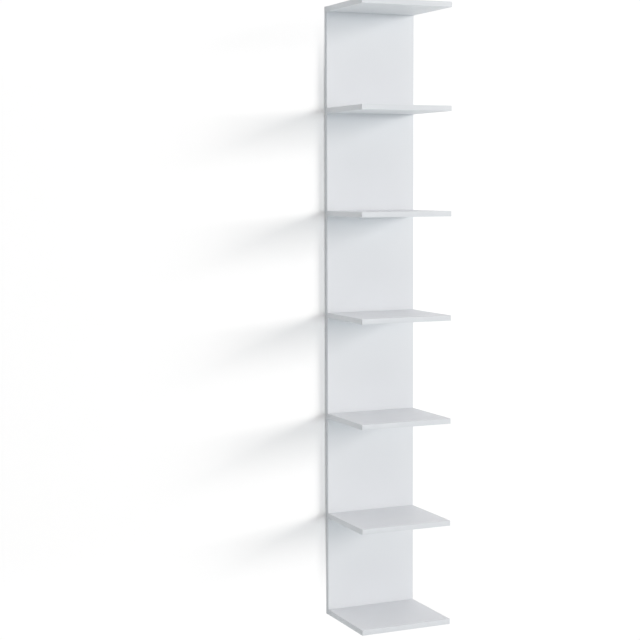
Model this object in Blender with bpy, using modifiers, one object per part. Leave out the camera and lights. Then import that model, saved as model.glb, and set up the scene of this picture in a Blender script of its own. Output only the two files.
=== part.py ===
"""Tall narrow wall shelf: seven shelves butted to the front of one full-height back panel.

Metres, +Z up. The origin is the middle of the back panel's rear face, which lies flat against
the wall in the plane Y = 0. The shelves reach forward along -Y.
"""

import math

import bmesh
import bpy
from mathutils import Vector

# Overall sizes
HEIGHT = 1.900
WIDTH = 0.300
SHELF_REACH = 0.250
SHELF_COUNT = 7

# Boards, with the plastic edging that covers their raw edges
PANEL_THICKNESS = 0.016
SHELF_THICKNESS = 0.016
EDGING_THICKNESS = 0.0010
EDGING_RADIUS = 0.0005
EDGING_RADIUS_STEPS = 2

# Clearances: the glue line behind an edging, and the gap between two pieces that touch
GLUE_LINE = 0.0003
SEAT_GAP = 0.0003

# Connector screws, two a shelf, put in from the rear of the panel
SCREW_LENGTH = 0.050
SCREW_HEAD_DIAMETER = 0.0100
SCREW_HEAD_RIM = 0.0008
SCREW_NECK_DIAMETER = 0.0066
SCREW_NECK_LENGTH = 0.0100
SCREW_THREAD_DIAMETER = 0.0070
SCREW_TIP_DIAMETER = 0.0040
SCREW_TIP_LENGTH = 0.0050
SCREW_SOCKET_WIDTH = 0.0040
SCREW_SOCKET_DEPTH = 0.0030
SCREW_FROM_END = 0.050
SCREW_HOLE_SPARE_DEPTH = 0.002

# Fluted dowels, two a shelf, between the screws
DOWEL_DIAMETER = 0.0080
DOWEL_LENGTH = 0.030
DOWEL_CHAMFER = 0.0010
DOWEL_FLUTES = 10
DOWEL_FLUTE_DEPTH = 0.0004
DOWEL_FROM_SCREW = 0.032
BOARD_BEHIND_DOWEL = 0.0055
DOWEL_HOLE_SPARE_DEPTH = 0.0005

# Keyhole hanger plates, let into the rear of the panel
HANGER_FROM_SIDE = 0.030
HANGER_FROM_END = 0.070
PLATE_LENGTH = 0.060
PLATE_WIDTH = 0.018
PLATE_THICKNESS = 0.0020
KEYHOLE_ENTRY_DIAMETER = 0.0100
KEYHOLE_SLOT_WIDTH = 0.0050
KEYHOLE_RISE = 0.0130
POCKET_MARGIN = 0.0010
BOARD_BEHIND_POCKET = 0.0070

# Countersunk screws that hold a hanger plate, one at each end
PLATE_SCREW_SPACING = 0.044
PLATE_SCREW_LENGTH = 0.012
PLATE_SCREW_HEAD_DIAMETER = 0.0068
PLATE_SCREW_HEAD_RIM = 0.0003
PLATE_SCREW_DIAMETER = 0.0035
PLATE_SCREW_TIP_DIAMETER = 0.0010
PLATE_SCREW_TIP_LENGTH = 0.0030
PLATE_SCREW_HOLE_SPARE_DEPTH = 0.0005

# Facets of round shapes
TURNED_STEPS = 12
ARC_STEPS = 8

# How far a cutter reaches past the face that it cuts through
OVERRUN = 0.001

# Points of a turned profile or of a cut outline closer than this are one point
MERGE_DISTANCE = 0.000001

# A turned piece is drawn with its head up, and this turn points the head to the rear.
HEAD_TO_REAR = (-math.pi / 2, 0, 0)

# A flat outline is drawn on the floor, and this turn stands it up against the wall.
STAND_UP = (math.pi / 2, 0, 0)


# Sizes that follow from the ones above
panel_front = -PANEL_THICKNESS
shelf_rear = panel_front - SEAT_GAP
shelf_front = panel_front - SHELF_REACH
edging_build_up = EDGING_THICKNESS + GLUE_LINE
edging_radius = min(EDGING_RADIUS, EDGING_THICKNESS)
board_half_width = WIDTH / 2 - edging_build_up
board_half_height = HEIGHT / 2 - edging_build_up
screw_across = WIDTH / 2 - SCREW_FROM_END
dowel_across = screw_across - DOWEL_FROM_SCREW
dowel_middle = -(BOARD_BEHIND_DOWEL + DOWEL_HOLE_SPARE_DEPTH + DOWEL_LENGTH / 2)
plate_rear = -SEAT_GAP
recess_depth = PLATE_THICKNESS + 2 * SEAT_GAP
pocket_depth = PANEL_THICKNESS - BOARD_BEHIND_POCKET
pocket_width = KEYHOLE_ENTRY_DIAMETER + 2 * POCKET_MARGIN
keyhole_entry = -KEYHOLE_RISE / 2
keyhole_top = KEYHOLE_RISE / 2
plate_round = (PLATE_LENGTH - PLATE_WIDTH) / 2


def clear_scene():
    for obj in list(bpy.data.objects):
        bpy.data.objects.remove(obj, do_unlink=True)


def new_collection(name, parent, is_cutter=False):
    collection = bpy.data.collections.new(name)
    parent.children.link(collection)
    collection.hide_render = is_cutter
    return collection


def new_material(name, colour, roughness, metallic=0.0):
    material = bpy.data.materials.new(name)
    material.use_nodes = True
    shader = material.node_tree.nodes["Principled BSDF"]
    shader.inputs["Base Color"].default_value = (*colour, 1.0)
    shader.inputs["Roughness"].default_value = roughness
    shader.inputs["Metallic"].default_value = metallic
    return material


def add_object(name, data, collection, parent, place=(0, 0, 0), turn=(0, 0, 0)):
    obj = bpy.data.objects.new(name, data)
    collection.objects.link(obj)
    obj.parent = parent
    obj.location = place
    obj.rotation_euler = turn
    return obj


def hide(obj):
    obj.hide_render = True
    obj.display_type = "WIRE"
    return obj


def block_mesh(name, low, high):
    """A box between two corners, as a mesh."""
    mesh = bpy.data.meshes.new(name)
    shape = bmesh.new()
    bmesh.ops.create_cube(shape, size=1.0)
    for vert in shape.verts:
        for axis in range(3):
            middle = (low[axis] + high[axis]) / 2
            vert.co[axis] = middle + vert.co[axis] * (high[axis] - low[axis])
    shape.to_mesh(mesh)
    shape.free()
    return mesh


def prism_mesh(name, radius, sides, length):
    """A straight prism about Z, from Z = 0 down to -length."""
    mesh = bpy.data.meshes.new(name)
    shape = bmesh.new()
    bmesh.ops.create_cone(
        shape, cap_ends=True, segments=sides, radius1=radius, radius2=radius, depth=length
    )
    bmesh.ops.translate(shape, verts=shape.verts, vec=(0, 0, -length / 2))
    shape.to_mesh(mesh)
    shape.free()
    return mesh


def profile_mesh(name, points):
    """A line of (radius, height) points, from the axis, down the outer side, to the axis."""
    mesh = bpy.data.meshes.new(name)
    shape = bmesh.new()
    verts = [shape.verts.new((radius, 0, height)) for radius, height in points]
    for upper, lower in zip(verts, verts[1:]):
        shape.edges.new((upper, lower))
    shape.to_mesh(mesh)
    shape.free()
    return mesh


def turn_profile(obj):
    screw = obj.modifiers.new("turned", "SCREW")
    screw.steps = TURNED_STEPS
    screw.render_steps = TURNED_STEPS
    screw.use_merge_vertices = True
    screw.merge_threshold = MERGE_DISTANCE
    screw.use_smooth_shade = True
    return obj


def cut(obj, name, cutter):
    boolean = obj.modifiers.new(name, "BOOLEAN")
    boolean.operation = "DIFFERENCE"
    boolean.solver = "EXACT"
    if isinstance(cutter, bpy.types.Collection):
        boolean.operand_type = "COLLECTION"
        boolean.collection = cutter
    else:
        boolean.object = cutter
    return obj


def round_edges(obj, sharp_sides):
    """Rounds every edge of a block but those of the sides that butt against another piece."""
    shape = bmesh.new()
    shape.from_mesh(obj.data)
    weight = shape.edges.layers.float.new("bevel_weight_edge")
    for edge in shape.edges:
        edge[weight] = 1.0
    for side in map(Vector, sharp_sides):
        reach = max(vert.co.dot(side) for vert in shape.verts) - MERGE_DISTANCE
        for edge in shape.edges:
            if all(vert.co.dot(side) > reach for vert in edge.verts):
                edge[weight] = 0.0
    shape.to_mesh(obj.data)
    shape.free()
    bevel = obj.modifiers.new("rounded", "BEVEL")
    bevel.limit_method = "WEIGHT"
    bevel.width = edging_radius
    bevel.segments = EDGING_RADIUS_STEPS
    return obj


def arc(centre, radius, start, end, steps):
    """Points of an arc in the plane of a flat outline, with angles in degrees."""
    points = []
    for step in range(steps + 1):
        angle = math.radians(start + (end - start) * step / steps)
        points.append((centre[0] + radius * math.cos(angle), centre[1] + radius * math.sin(angle)))
    return points


def slot_outline(width, low, high):
    """An upright slot with round ends, whose end centres lie at the heights low and high."""
    radius = width / 2
    return arc((0, low), radius, 180, 360, ARC_STEPS) + arc((0, high), radius, 0, 180, ARC_STEPS)


def keyhole_outline():
    """The round entry below, open at its top into the narrow slot."""
    entry = KEYHOLE_ENTRY_DIAMETER / 2
    slot = KEYHOLE_SLOT_WIDTH / 2
    mouth = math.degrees(math.acos(slot / entry))
    below = arc((0, keyhole_entry), entry, 180 - mouth, 360 + mouth, 2 * ARC_STEPS)
    return below + arc((0, keyhole_top), slot, 0, 180, ARC_STEPS)


def outline_curve(name, outlines, depth):
    """A flat shape, with any inner outlines as its holes, as thick as depth."""
    curve = bpy.data.curves.new(name, "CURVE")
    curve.dimensions = "2D"
    curve.fill_mode = "BOTH"
    curve.extrude = depth / 2
    for outline in outlines:
        spline = curve.splines.new("POLY")
        spline.points.add(len(outline) - 1)
        for point, (across, up) in zip(spline.points, outline):
            point.co = (across, up, 0, 1)
        spline.use_cyclic_u = True
    return curve


def mesh_of_curve(name, curve):
    """The curve's closed mesh, with its loose caps welded to its walls."""
    helper = bpy.data.objects.new(name, curve)
    bpy.context.scene.collection.objects.link(helper)
    graph = bpy.context.evaluated_depsgraph_get()
    mesh = bpy.data.meshes.new_from_object(helper.evaluated_get(graph))
    bpy.data.objects.remove(helper, do_unlink=True)
    mesh.name = name
    shape = bmesh.new()
    shape.from_mesh(mesh)
    bmesh.ops.remove_doubles(shape, verts=shape.verts, dist=MERGE_DISTANCE)
    shape.to_mesh(mesh)
    shape.free()
    return mesh


def shelf_heights():
    """Middle of each board, from the top. The end shelves are level with the panel's ends,
    and the others divide the panel's height evenly."""
    end = (HEIGHT - SHELF_THICKNESS) / 2
    step = HEIGHT / (SHELF_COUNT - 1)
    inner = [HEIGHT / 2 - step * number for number in range(1, SHELF_COUNT - 1)]
    return [end, *inner, -end]


def screw_profile():
    head = SCREW_HEAD_DIAMETER / 2
    neck = SCREW_NECK_DIAMETER / 2
    thread = SCREW_THREAD_DIAMETER / 2
    cone_end = -(SCREW_HEAD_RIM + head - neck)
    neck_end = cone_end - SCREW_NECK_LENGTH
    return [
        (0, 0),
        (head, 0),
        (head, -SCREW_HEAD_RIM),
        (neck, cone_end),
        (neck, neck_end),
        (thread, neck_end - (thread - neck)),
        (thread, SCREW_TIP_LENGTH - SCREW_LENGTH),
        (SCREW_TIP_DIAMETER / 2, -SCREW_LENGTH),
        (0, -SCREW_LENGTH),
    ]


def plate_screw_profile():
    head = PLATE_SCREW_HEAD_DIAMETER / 2
    shank = PLATE_SCREW_DIAMETER / 2
    return [
        (0, 0),
        (head, 0),
        (head, -PLATE_SCREW_HEAD_RIM),
        (shank, -(PLATE_SCREW_HEAD_RIM + head - shank)),
        (shank, PLATE_SCREW_TIP_LENGTH - PLATE_SCREW_LENGTH),
        (PLATE_SCREW_TIP_DIAMETER / 2, -PLATE_SCREW_LENGTH),
        (0, -PLATE_SCREW_LENGTH),
    ]


def countersunk_hole_profile(head_diameter, rim, shank_diameter, depth):
    """The hole for a countersunk screw: the screw's own steps, wider by the seat gap."""
    head = head_diameter / 2 + SEAT_GAP
    shank = shank_diameter / 2 + SEAT_GAP
    return [
        (0, OVERRUN),
        (head, OVERRUN),
        (head, -rim),
        (shank, -(rim + head - shank)),
        (shank, -depth),
        (0, -depth),
    ]


def dowel_outline():
    """A round outline with every second point drawn in, for the straight flutes."""
    outline = []
    for number in range(2 * DOWEL_FLUTES):
        radius = DOWEL_DIAMETER / 2 - DOWEL_FLUTE_DEPTH * (number % 2)
        angle = math.pi * number / DOWEL_FLUTES
        outline.append((radius * math.cos(angle), radius * math.sin(angle)))
    return outline


def dowel_curve():
    curve = outline_curve("dowel", [dowel_outline()], DOWEL_LENGTH - 2 * DOWEL_CHAMFER)
    curve.bevel_depth = DOWEL_CHAMFER
    curve.bevel_resolution = 0
    curve.offset = -DOWEL_CHAMFER
    return curve


def make_materials():
    white = (0.80, 0.81, 0.82)
    return {
        "board": new_material("white melamine board", white, 0.45),
        "edging": new_material("white plastic edging", white, 0.35),
        "zinc": new_material("zinc-plated steel", (0.62, 0.63, 0.65), 0.35, metallic=1.0),
        "beech": new_material("beech", (0.66, 0.47, 0.29), 0.65),
    }


def coated(mesh, material):
    mesh.materials.append(material)
    return mesh


def make_fastener_shapes(materials):
    """The meshes that all like fasteners share, and those of the cutters for their holes."""
    socket_radius = SCREW_SOCKET_WIDTH / 2 / math.cos(math.pi / 6)
    dowel_hole_radius = DOWEL_DIAMETER / 2 + SEAT_GAP
    dowel_hole_length = DOWEL_LENGTH + 2 * DOWEL_HOLE_SPARE_DEPTH
    screw_hole = countersunk_hole_profile(
        SCREW_HEAD_DIAMETER,
        SCREW_HEAD_RIM,
        SCREW_THREAD_DIAMETER,
        SCREW_LENGTH + SCREW_HOLE_SPARE_DEPTH,
    )
    plate_screw_hole = countersunk_hole_profile(
        PLATE_SCREW_HEAD_DIAMETER,
        PLATE_SCREW_HEAD_RIM,
        PLATE_SCREW_DIAMETER,
        PLATE_SCREW_LENGTH + PLATE_SCREW_HOLE_SPARE_DEPTH,
    )
    return {
        "screw": coated(profile_mesh("connector_screw", screw_profile()), materials["zinc"]),
        "screw_hole": profile_mesh("connector_screw_hole", screw_hole),
        "socket": prism_mesh("hexagon_socket", socket_radius, 6, OVERRUN + SCREW_SOCKET_DEPTH),
        "dowel": coated(mesh_of_curve("dowel", dowel_curve()), materials["beech"]),
        "dowel_hole": prism_mesh(
            "dowel_hole", dowel_hole_radius, TURNED_STEPS, dowel_hole_length
        ),
        "plate_screw": coated(
            profile_mesh("plate_screw", plate_screw_profile()), materials["zinc"]
        ),
        "plate_screw_hole": profile_mesh("plate_screw_hole", plate_screw_hole),
    }


def make_hanger_shapes(materials):
    """The mesh of the keyhole plate, and those of the cutters for its seat in the panel."""
    plate = slot_outline(PLATE_WIDTH, -plate_round, plate_round)
    recess = slot_outline(PLATE_WIDTH + 2 * SEAT_GAP, -plate_round, plate_round)
    pocket = slot_outline(pocket_width, keyhole_entry, keyhole_top)
    plate_curve = outline_curve("plate", [plate, keyhole_outline()], PLATE_THICKNESS)
    recess_curve = outline_curve("recess", [recess], recess_depth + OVERRUN)
    pocket_curve = outline_curve("pocket", [pocket], pocket_depth + OVERRUN)
    return {
        "plate": coated(mesh_of_curve("hanger_plate", plate_curve), materials["zinc"]),
        "recess": mesh_of_curve("plate_recess", recess_curve),
        "pocket": mesh_of_curve("screw_head_pocket", pocket_curve),
    }


def make_screw(name, parts, holes, place, at, screw_mesh, hole_mesh):
    """A turned screw, and the cutter for its hole in every piece that it passes through."""
    screw = add_object(name, screw_mesh, parts, place, at, HEAD_TO_REAR)
    hole = add_object(f"{name}_hole", hole_mesh, holes, place, at, HEAD_TO_REAR)
    hide(turn_profile(hole))
    return turn_profile(screw)


def make_shelf_edging(name, place, parts, cutters, material):
    """The shelf's full outline, less the board and the glue line, leaves its edging."""
    half_width = WIDTH / 2
    half_thickness = SHELF_THICKNESS / 2
    low = (-half_width, shelf_front, -half_thickness)
    high = (half_width, shelf_rear, half_thickness)
    edging = add_object(name, block_mesh(name, low, high), parts, place)
    round_edges(edging, sharp_sides=[(0, 1, 0)])
    inner_half_width = half_width - EDGING_THICKNESS
    low = (-inner_half_width, shelf_front + EDGING_THICKNESS, -half_thickness - OVERRUN)
    high = (inner_half_width, shelf_rear + OVERRUN, half_thickness + OVERRUN)
    room = block_mesh(f"{name}_board_room", low, high)
    cut(edging, "room for the board", hide(add_object(room.name, room, cutters, place)))
    coated(edging.data, material)


def make_shelf(name, height, shapes, root, parts, cutters, fastener_holes, materials):
    """One board with its edging, its two screws and its two dowels, and the holes for them."""
    place = add_object(f"{name}_place", None, parts, root, (0, 0, height))
    holes = new_collection(f"{name}_holes", fastener_holes, is_cutter=True)
    low = (-board_half_width, shelf_front + edging_build_up, -SHELF_THICKNESS / 2)
    high = (board_half_width, shelf_rear, SHELF_THICKNESS / 2)
    board = add_object(name, block_mesh(name, low, high), parts, place)
    cut(board, "fastener holes", holes)
    coated(board.data, materials["board"])
    make_shelf_edging(f"{name}_edging", place, parts, cutters, materials["edging"])

    for side, sign in (("left", -1), ("right", 1)):
        at = (sign * screw_across, -SEAT_GAP, 0)
        screw = make_screw(
            f"{name}_screw_{side}", parts, holes, place, at, shapes["screw"], shapes["screw_hole"]
        )
        socket_name = f"{name}_socket_{side}"
        socket = add_object(socket_name, shapes["socket"], cutters, screw, (0, 0, OVERRUN))
        cut(screw, "hexagon socket", hide(socket))

        across = sign * dowel_across
        dowel_name = f"{name}_dowel_{side}"
        at = (across, dowel_middle, 0)
        add_object(dowel_name, shapes["dowel"], parts, place, at, HEAD_TO_REAR)
        at = (across, -BOARD_BEHIND_DOWEL, 0)
        hide(
            add_object(
                f"{dowel_name}_hole", shapes["dowel_hole"], holes, place, at, HEAD_TO_REAR
            )
        )


def make_hanger(name, across, up, shapes, root, parts, plate_holes, recesses, pockets):
    """A keyhole plate with its two screws, and the cutters for its seat in the panel."""
    place = add_object(f"{name}_place", None, parts, root, (across, 0, up))
    at = (0, plate_rear - PLATE_THICKNESS / 2, 0)
    plate = add_object(name, shapes["plate"], parts, place, at, STAND_UP)
    at = (0, (OVERRUN - recess_depth) / 2, 0)
    hide(add_object(f"{name}_recess", shapes["recess"], recesses, place, at, STAND_UP))
    at = (0, (OVERRUN - pocket_depth) / 2, 0)
    hide(add_object(f"{name}_pocket", shapes["pocket"], pockets, place, at, STAND_UP))
    holes = new_collection(f"{name}_holes", plate_holes, is_cutter=True)
    for end, sign in (("upper", 1), ("lower", -1)):
        make_screw(
            f"{name}_screw_{end}",
            parts,
            holes,
            place,
            (0, plate_rear, sign * PLATE_SCREW_SPACING / 2),
            shapes["plate_screw"],
            shapes["plate_screw_hole"],
        )
    cut(plate, "countersunk holes", holes)


def make_panel(root, parts, cut_groups, material):
    low = (-board_half_width, panel_front, -board_half_height)
    high = (board_half_width, 0, board_half_height)
    panel = add_object("back_panel", block_mesh("back_panel", low, high), parts, root)
    for group in cut_groups:
        cut(panel, group.name, group)
    coated(panel.data, material)


def make_panel_edging(root, parts, material):
    """Long strips up both sides, with short ones between them at the top and the foot."""
    half_strip = EDGING_THICKNESS / 2
    side_middle = WIDTH / 2 - half_strip
    end_middle = HEIGHT / 2 - half_strip
    for name, sign in (("left", -1), ("right", 1)):
        mesh = block_mesh(
            f"panel_edging_{name}",
            (-half_strip, panel_front, -HEIGHT / 2),
            (half_strip, 0, HEIGHT / 2),
        )
        strip = add_object(mesh.name, mesh, parts, root, (sign * side_middle, 0, 0))
        round_edges(strip, sharp_sides=[(-sign, 0, 0)])
        coated(mesh, material)
    for name, sign in (("bottom", -1), ("top", 1)):
        mesh = block_mesh(
            f"panel_edging_{name}",
            (-board_half_width, panel_front, -half_strip),
            (board_half_width, 0, half_strip),
        )
        strip = add_object(mesh.name, mesh, parts, root, (0, 0, sign * end_middle))
        round_edges(strip, sharp_sides=[(0, 0, -sign), (-1, 0, 0), (1, 0, 0)])
        coated(mesh, material)


def main():
    clear_scene()
    scene_collection = bpy.context.scene.collection
    parts = new_collection("wall_shelf", scene_collection)
    cutters = new_collection("cutters", scene_collection, is_cutter=True)
    fastener_holes = new_collection("fastener_holes", cutters, is_cutter=True)
    plate_holes = new_collection("plate_screw_holes", cutters, is_cutter=True)
    recesses = new_collection("plate_recesses", cutters, is_cutter=True)
    pockets = new_collection("screw_head_pockets", cutters, is_cutter=True)
    materials = make_materials()
    shapes = {**make_fastener_shapes(materials), **make_hanger_shapes(materials)}
    root = add_object("wall_shelf_place", None, parts, None)

    make_panel(root, parts, [fastener_holes, recesses, pockets, plate_holes], materials["board"])
    make_panel_edging(root, parts, materials["edging"])
    for number, height in enumerate(shelf_heights(), start=1):
        make_shelf(
            f"shelf_{number}", height, shapes, root, parts, cutters, fastener_holes, materials
        )
    for level, up_sign in (("top", 1), ("bottom", -1)):
        for side, across_sign in (("left", -1), ("right", 1)):
            make_hanger(
                f"hanger_{level}_{side}",
                across_sign * (WIDTH / 2 - HANGER_FROM_SIDE),
                up_sign * (HEIGHT / 2 - HANGER_FROM_END),
                shapes,
                root,
                parts,
                plate_holes,
                recesses,
                pockets,
            )


main()
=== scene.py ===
# %% [markdown]
# # Dressing a tall wall shelf
#
# The real object is a kit of melamine-faced boards: one full-height back panel with seven shelves
# butted to its front. Two connector screws and two dowels hold each shelf, and four keyhole
# plates let into the rear of the panel hang the whole shelf on a wall.
#
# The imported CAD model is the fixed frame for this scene. Units are metres and Z points up. The
# origin is the middle of the panel's rear face, the wall is the plane Y = 0, and the shelves
# reach forward along -Y. Every place below is read from the frame or worked out from it.

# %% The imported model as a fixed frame
import math

import bmesh
import bpy
from mathutils import Matrix, Vector


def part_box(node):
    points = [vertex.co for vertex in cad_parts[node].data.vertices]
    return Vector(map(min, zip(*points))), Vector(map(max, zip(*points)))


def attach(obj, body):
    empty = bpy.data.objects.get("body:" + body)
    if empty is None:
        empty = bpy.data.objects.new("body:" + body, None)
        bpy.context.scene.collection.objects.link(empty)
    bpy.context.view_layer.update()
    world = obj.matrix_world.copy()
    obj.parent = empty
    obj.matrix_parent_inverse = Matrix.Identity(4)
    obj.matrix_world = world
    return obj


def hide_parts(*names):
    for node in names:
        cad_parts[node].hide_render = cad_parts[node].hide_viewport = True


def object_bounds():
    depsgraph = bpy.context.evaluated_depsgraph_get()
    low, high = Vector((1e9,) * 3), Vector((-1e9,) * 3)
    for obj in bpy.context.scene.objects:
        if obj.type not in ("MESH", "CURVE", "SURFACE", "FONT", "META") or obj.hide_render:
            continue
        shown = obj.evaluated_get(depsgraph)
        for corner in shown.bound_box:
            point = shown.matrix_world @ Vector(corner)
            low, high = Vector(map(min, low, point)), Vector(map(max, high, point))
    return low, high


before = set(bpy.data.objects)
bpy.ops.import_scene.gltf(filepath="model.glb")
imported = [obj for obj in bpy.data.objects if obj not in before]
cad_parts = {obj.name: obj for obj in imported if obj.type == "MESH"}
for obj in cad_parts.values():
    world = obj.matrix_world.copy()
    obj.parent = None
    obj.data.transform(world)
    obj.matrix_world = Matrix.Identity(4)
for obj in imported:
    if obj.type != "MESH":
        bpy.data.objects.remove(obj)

MILLIMETRES = 1000

scene = bpy.context.scene
cad_low, cad_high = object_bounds()


def nodes_like(start, underscores):
    """The frame's nodes whose names start like this and have so many underscores."""
    return sorted(
        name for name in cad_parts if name.startswith(start) and name.count("_") == underscores
    )


def size_in_millimetres(low, high, digits):
    return [round(MILLIMETRES * (end - start), digits) for start, end in zip(low, high)]


SHELF_NAMES = nodes_like("shelf_", 1)
HANGER_NAMES = nodes_like("hanger_", 2)
print("overall size in millimetres:", size_in_millimetres(cad_low, cad_high, 1))
print("shelves:", len(SHELF_NAMES), "hanger plates:", len(HANGER_NAMES))
print("nodes:", len(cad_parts))

# %% [markdown]
# ## Light
#
# The photograph shows white boards on a white wall, with long soft shadows that run to the left
# and a little down from every shelf. One large softbox, far to the right and a little above the
# middle, throws such shadows. Three lamps lift the panel from the front. The strongest is narrow
# and almost level, so that its light gets in between the shelves, right down to each of them. Two
# broad ones, from a little above and a little below, soften the edges that it leaves. All three
# stand a little to the right, so that the left ends of the shelves stay darker than their fronts.
# The sky lights the tops of the boards and their undersides. One more lamp stands behind the wall,
# where only the rear of the shelf sees it.
#
# Each lamp's strength is given as a share of the light on a white wall that the picture shows as
# pure white. For a lamp without fall-off that is the share times pi. A softbox also needs its
# distance, and the slant at which its light meets the wall.

# %% Lamps
scene.view_settings.view_transform = "Standard"
scene.view_settings.look = "None"

SOFTBOX_SHARE = 0.254
SOFTBOX_DISTANCE = 20.0
SOFTBOX_COLOUR = (1.05, 1.0, 0.97)
# Degrees to the right of straight in front, degrees above, and degrees wide and high as seen.
SOFTBOX_TO_THE_RIGHT = 58
SOFTBOX_ABOVE = 12
SOFTBOX_SIZE_SEEN = (20, 16)
# For each distant lamp: degrees to the right, degrees above, degrees wide, share and colour.
DISTANT_LAMPS = {
    "front_level_lamp": (10, 1, 8, 0.171, (0.92, 1.0, 1.02)),
    "front_high_lamp": (8, 6, 24, 0.086, (1.10, 1.0, 0.90)),
    "front_low_lamp": (8, -5, 24, 0.070, (1.02, 1.0, 1.12)),
    "rear_lamp": (165, 14, 60, 0.42, (1.0, 1.0, 1.0)),
}


def direction(to_the_right, above):
    """From the middle of the shelf towards a lamp, from two angles in degrees."""
    turn, rise = math.radians(to_the_right), math.radians(above)
    level = math.cos(rise)
    return Vector((math.sin(turn) * level, -math.cos(turn) * level, math.sin(rise)))


def new_object(name, data):
    """An object in the scene that holds this lamp, camera or mesh."""
    holder = bpy.data.objects.new(name, data)
    scene.collection.objects.link(holder)
    return holder


def add_lamp(name, kind, colour, towards, distance=1.0):
    lamp = bpy.data.lights.new(name, kind)
    lamp.color = colour
    holder = new_object(name, lamp)
    holder.location = towards * distance
    holder.rotation_euler = (-towards).to_track_quat("-Z", "Y").to_euler()
    holder.visible_camera = False
    return lamp


towards_softbox = direction(SOFTBOX_TO_THE_RIGHT, SOFTBOX_ABOVE)
softbox = add_lamp("softbox", "AREA", SOFTBOX_COLOUR, towards_softbox, SOFTBOX_DISTANCE)
softbox.shape = "RECTANGLE"
softbox.size, softbox.size_y = (
    2 * SOFTBOX_DISTANCE * math.tan(math.radians(seen) / 2) for seen in SOFTBOX_SIZE_SEEN
)
softbox.energy = SOFTBOX_SHARE * (math.pi * SOFTBOX_DISTANCE) ** 2 / -towards_softbox.y

for lamp_name, (to_the_right, above, wide, share, colour) in DISTANT_LAMPS.items():
    lamp = add_lamp(lamp_name, "SUN", colour, direction(to_the_right, above))
    lamp.angle = math.radians(wide)
    lamp.energy = share * math.pi
print("softbox:", round(softbox.size, 1), "by", round(softbox.size_y, 1), "metres")
print("distant lamps:", len(DISTANT_LAMPS))

# %% [markdown]
# ## Node helpers
#
# Materials, the sky and the geometry trees are all node trees. One small helper adds a node, sets
# its options, fills its inputs with values or links, and gives back the output that the next step
# needs, so that a tree reads like a list of steps.

# %% Helpers for every node tree
def add(tree, kind, inputs=None, output=0, **options):
    """Adds a node and returns one of its outputs. Inputs and output go by name or number."""
    node = tree.nodes.new(kind)
    for option, value in options.items():
        setattr(node, option, value)
    for place, value in (inputs or {}).items():
        if isinstance(value, bpy.types.NodeSocket):
            tree.links.new(value, node.inputs[place])
        else:
            node.inputs[place].default_value = value
    return node.outputs[output] if node.outputs else None


def maths(tree, operation, *values):
    return add(tree, "ShaderNodeMath", dict(enumerate(values)), operation=operation)


def times(tree, value, factor):
    return maths(tree, "MULTIPLY", value, factor)


def part_of(tree, vector, axis):
    """The X, Y or Z of a vector."""
    return add(tree, "ShaderNodeSeparateXYZ", {0: vector}, axis)


def combine(tree, **axes):
    """A vector from its X, Y and Z. What isn't given is nothing."""
    return add(tree, "ShaderNodeCombineXYZ", axes)


def camera_ray(tree):
    """One where the camera looks straight at a thing, and nothing for light that only meets it."""
    return add(tree, "ShaderNodeLightPath", output="Is Camera Ray")


def mix_shaders(tree, share, first, second):
    return add(tree, "ShaderNodeMixShader", {0: share, 1: first, 2: second})


# %% [markdown]
# ## Sky
#
# The sky is darkest at the horizon and brightest overhead. Its lower half stands in for the light
# that a very large pale floor would send back up. Unlike a lamp, a sky casts no shadow that one
# could point at. The camera itself sees a plain pale grey past the wall, so that white boards stay
# readable from the side and from behind.

# %% The sky
SKY_OVERHEAD = 0.98
SKY_UNDERFOOT = 1.19
SKY_ABOVE_COLOUR = (1.02, 1.0, 1.02, 1.0)
SKY_BELOW_COLOUR = (0.957, 1.0, 0.99, 1.0)
BACKDROP_COLOUR = (0.62, 0.63, 0.64, 1.0)

sky = bpy.data.worlds.new("studio_sky")
scene.world = sky
sky.use_nodes = True
sky_tree = sky.node_tree
sky_tree.nodes.clear()
upwards = part_of(sky_tree, add(sky_tree, "ShaderNodeTexCoord", output="Generated"), "Z")


def half_sky(clip, strength, colour):
    """Light that grows with the distance from the horizon. Clip keeps one half of the sky."""
    from_horizon = maths(sky_tree, clip, upwards, 0.0)
    inputs = {"Color": colour, "Strength": times(sky_tree, from_horizon, strength)}
    return add(sky_tree, "ShaderNodeBackground", inputs)


sky_above = half_sky("MAXIMUM", SKY_OVERHEAD, SKY_ABOVE_COLOUR)
sky_below = half_sky("MINIMUM", -SKY_UNDERFOOT, SKY_BELOW_COLOUR)
whole_sky = add(sky_tree, "ShaderNodeAddShader", {0: sky_above, 1: sky_below})
backdrop = add(sky_tree, "ShaderNodeBackground", {"Color": BACKDROP_COLOUR, "Strength": 1.0})
seen_sky = mix_shaders(sky_tree, camera_ray(sky_tree), whole_sky, backdrop)
add(sky_tree, "ShaderNodeOutputWorld", {"Surface": seen_sky})
print("sky nodes:", len(sky_tree.nodes))

# %% [markdown]
# ## Wall and floor
#
# The wall carries the soft shadows, but it would hide the rear of the shelf from a camera behind
# it, so its paint is clear from behind. It stops at the panel's outline, because a sheet pressed
# on the panel's rear would keep all light off it. The floor is clear from below in the same way,
# and both fade out with distance instead of ending in an edge. Only the camera sees the floor: it
# would lighten the lowest shelf most, where the photograph shows all seven alike, so the lower sky
# does its work instead.
#
# In the photograph the shadows on the wall grow faint towards the top and the foot of the shelf.
# Past the second and the sixth shelf the wall therefore gets a painted glow of its own white, which
# smoothly takes over from the light of the lamps and washes out their shadows there. Only the
# camera sees that glow too, so it changes nothing on the boards.

# %% Matt paint for both
WALL_COLOUR = (1.0, 1.0, 1.0, 1.0)
FLOOR_COLOUR = (0.90, 0.92, 0.92, 1.0)
# The distances from the shelf's middle between which each fades out, in metres.
WALL_FADE = (1.65, 2.25)
FLOOR_FADE = (1.5, 5.5)
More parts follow.
